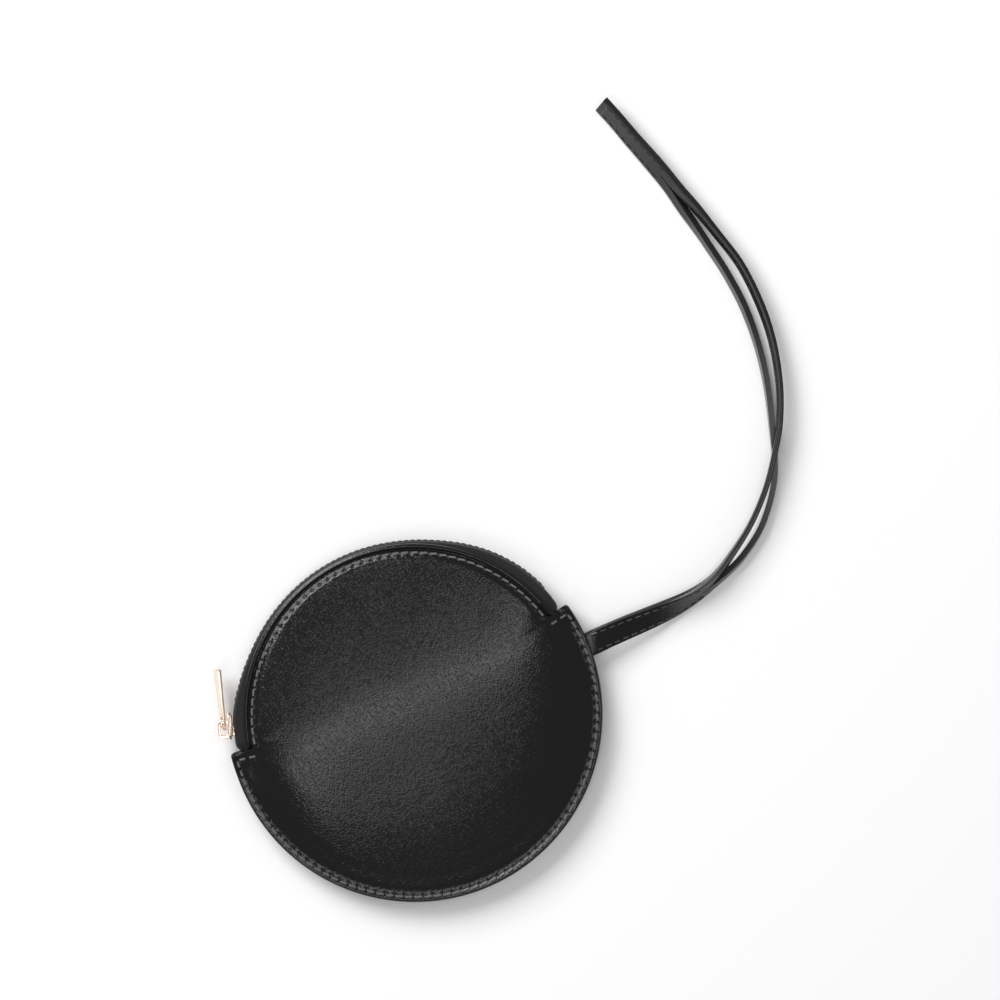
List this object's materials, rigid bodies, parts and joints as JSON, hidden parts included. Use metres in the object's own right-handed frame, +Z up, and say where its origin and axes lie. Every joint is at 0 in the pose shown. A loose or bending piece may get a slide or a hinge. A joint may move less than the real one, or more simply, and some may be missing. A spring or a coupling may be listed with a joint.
{
  "type": "round zip pouch with wrist strap",
  "caption": "Small round leather pouch with a zip round part of its edge and a slit leather wrist strap sewn into its seam.",
  "frame": {"origin": "middle of the flat face of the back panel that the pouch rests on", "axes": "+Z up out of the front panel, +Y along the greatest length, towards the strap's tip, +X towards the side where the strap leaves the seam"},
  "size_m": [0.1746, 0.2464, 0.017],
  "materials": {
    "leather": "black, softly polished, fine grain",
    "zip_tape": "black woven tape, matt",
    "zip_teeth": "black moulded plastic, satin",
    "gilt_metal": "polished pale rose gold plating"
  },
  "bodies": {
    "pouch": {"front_panel": "leather", "back_panel": "leather", "wrist_strap": "leather", "zip_tape_front": "zip_tape", "zip_tape_back": "zip_tape", "zip_teeth_front": "zip_teeth", "zip_teeth_back": "zip_teeth", "slider_body": "gilt_metal"},
    "pull": {"zip_pull": "gilt_metal"}
  },
  "joints": [
    {"name": "pull_swing", "type": "hinge", "parent": "pouch", "child": "pull", "pos_m": [-0.05843, -0.00468, 0.0072], "axis": [0, 0, 1], "range_deg": [0, 170]}
  ]
}
